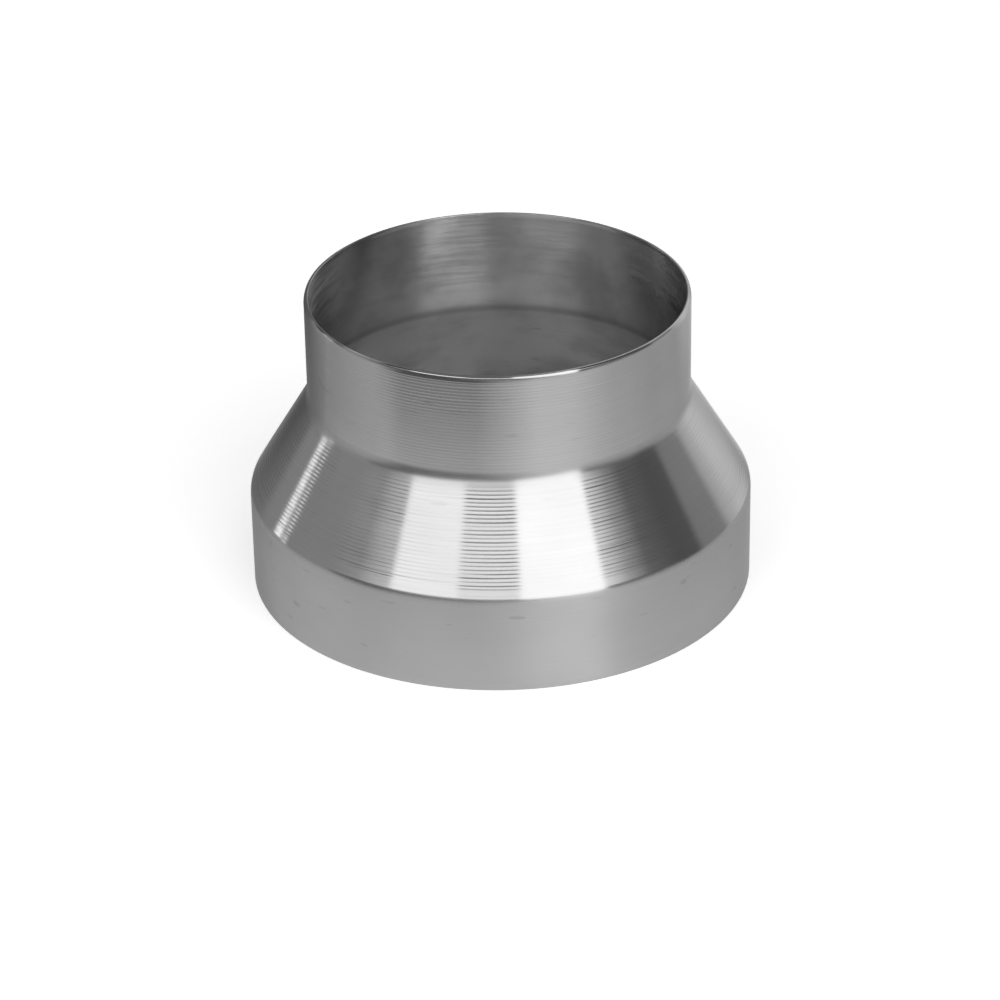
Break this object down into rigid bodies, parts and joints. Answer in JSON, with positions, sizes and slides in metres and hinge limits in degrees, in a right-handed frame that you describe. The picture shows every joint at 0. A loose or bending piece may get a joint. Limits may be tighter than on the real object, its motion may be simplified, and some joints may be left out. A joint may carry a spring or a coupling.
{
  "type": "duct reducer",
  "caption": "Round duct reducer spun from sheet metal: a wide collar, a short cone and a narrow collar with a turned-in lip, open right through.",
  "frame": {"origin": "centre of the wide rim, on the plane that the reducer stands on", "axes": "+Z along the duct axis, from the wide collar to the narrow collar"},
  "size_m": [0.1624, 0.1624, 0.0987],
  "materials": {
    "spun_aluminium": "dull satin collars, burnished cone with fine spinning rings"
  },
  "bodies": {
    "root": {"reducer_shell": "spun_aluminium"}
  },
  "joints": []
}
